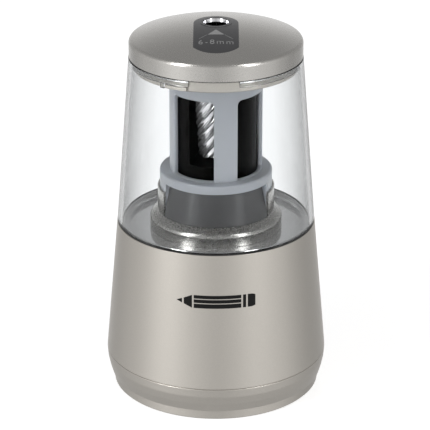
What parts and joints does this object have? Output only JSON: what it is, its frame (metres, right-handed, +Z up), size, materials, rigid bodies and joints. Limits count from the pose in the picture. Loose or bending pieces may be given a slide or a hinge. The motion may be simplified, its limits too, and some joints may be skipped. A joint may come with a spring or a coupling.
{
  "type": "electric pencil sharpener",
  "caption": "Round desktop electric pencil sharpener: tapered satin body, clear chip bin, domed lid with a pencil hole, and a caged helical cutter driven by a geared motor.",
  "frame": {"origin": "on the table, under the middle of the base", "axes": "+Z up along the axis of the body and the pencil hole, -Y towards the front, +X to the right seen from the front"},
  "size_m": [0.078, 0.078, 0.1329],
  "materials": {
    "satin_body": "satin metallic champagne silver",
    "base_grey": "satin grey",
    "black_rubber": "matt",
    "dark_plastic": "fine texture",
    "steel": "machined",
    "cell_wrap": "printed sleeve without lettering",
    "nickel": "nickel plated",
    "board_green": "solder mask",
    "black_plastic": "matt moulded",
    "magnet": "ferrite",
    "copper": "wound copper",
    "brass_part": "turned",
    "white_nylon": "moulded",
    "tray_grey": "glossy",
    "tray_metal": "satin metallic",
    "housing_grey": "fine texture",
    "cage_plastic": "translucent milky",
    "cutter_steel": "ground bright",
    "clear_plastic": "clear, polished",
    "lid_metal": "satin metallic",
    "label_grey": "satin",
    "chrome": "polished"
  },
  "bodies": {
    "base": {"body_shell": "satin_body", "base_band": "satin_body", "base_cover": "base_grey", "rubber_feet": "black_rubber", "seam_gasket": "black_rubber", "chassis": "dark_plastic", "base_screws": "steel", "battery_cells": "cell_wrap", "upper_contacts": "nickel", "door_hinge_pin": "steel", "power_socket": "nickel", "control_board": "board_green", "board_components": "black_plastic", "motor_can": "nickel", "motor_end_cap": "black_plastic", "motor_magnets": "magnet", "idler_axle": "steel", "motor_plate": "steel", "motor_screws": "steel", "shaft_bearing": "brass_part", "bearing_plate": "steel", "start_switch": "black_plastic", "chip_tray": "tray_grey", "pedestal": "tray_metal", "collar": "tray_metal", "gear_housing": "housing_grey", "cutter_cage": "cage_plastic", "cage_cap": "cage_plastic", "ring_gear": "dark_plastic"},
    "container": {"chip_container": "clear_plastic"},
    "lid": {"lid_shell": "lid_metal", "label_plate": "label_grey", "guide_sleeve": "chrome", "lid_ring": "lid_metal"},
    "cutter_head": {"cutter_carrier": "black_plastic", "drive_shaft": "steel", "output_gear": "white_nylon", "shaft_clip": "steel"},
    "cutter": {"helical_cutter": "cutter_steel", "cutter_axle": "steel", "cutter_pinion": "steel"},
    "idler": {"idler_gear": "white_nylon"},
    "rotor": {"motor_armature": "copper", "motor_shaft": "steel", "motor_pinion": "brass_part"},
    "trigger": {"trigger_rod": "steel", "switch_plunger": "white_nylon"},
    "door": {"battery_door": "base_grey", "contact_springs": "nickel"}
  },
  "joints": [
    {"name": "container_lift", "type": "slide", "parent": "base", "child": "container", "axis": [0, 0, 1], "range_m": [0, 0.055]},
    {"name": "lid_twist", "type": "hinge", "parent": "container", "child": "lid", "pos_m": [0, 0, 0.1215], "axis": [0, 0, 1], "range_deg": [0, 20]},
    {"name": "head_spin", "type": "hinge", "parent": "base", "child": "cutter_head", "pos_m": [0, 0, 0.07], "axis": [0, 0, 1], "continuous": true},
    {"name": "cutter_spin", "type": "hinge", "parent": "cutter_head", "child": "cutter", "pos_m": [-0.00293, -0.00805, 0.1095], "axis": [-0.0588, -0.1616, 0.9851], "continuous": true},
    {"name": "idler_spin", "type": "hinge", "parent": "base", "child": "idler", "pos_m": [0.00954, 0.00808, 0.06], "axis": [0, 0, 1], "continuous": true},
    {"name": "motor_spin", "type": "hinge", "parent": "base", "child": "rotor", "pos_m": [0.017, 0, 0.04], "axis": [0, 0, 1], "continuous": true},
    {"name": "trigger_press", "type": "slide", "parent": "base", "child": "trigger", "axis": [0, 0, 1], "range_m": [-0.001, 0], "stiffness_N_per_m": 600, "springref_m": 0.0005},
    {"name": "battery_door_swing", "type": "hinge", "parent": "base", "child": "door", "pos_m": [-0.0286, 0, 0.0014], "axis": [0, 1, 0], "range_deg": [0, 100]}
  ],
  "couplings": [
    {"joint": "cutter_spin", "follows": "head_spin", "ratio": -3.25},
    {"joint": "idler_spin", "follows": "head_spin", "ratio": -4},
    {"joint": "motor_spin", "follows": "head_spin", "ratio": 13.6}
  ]
}
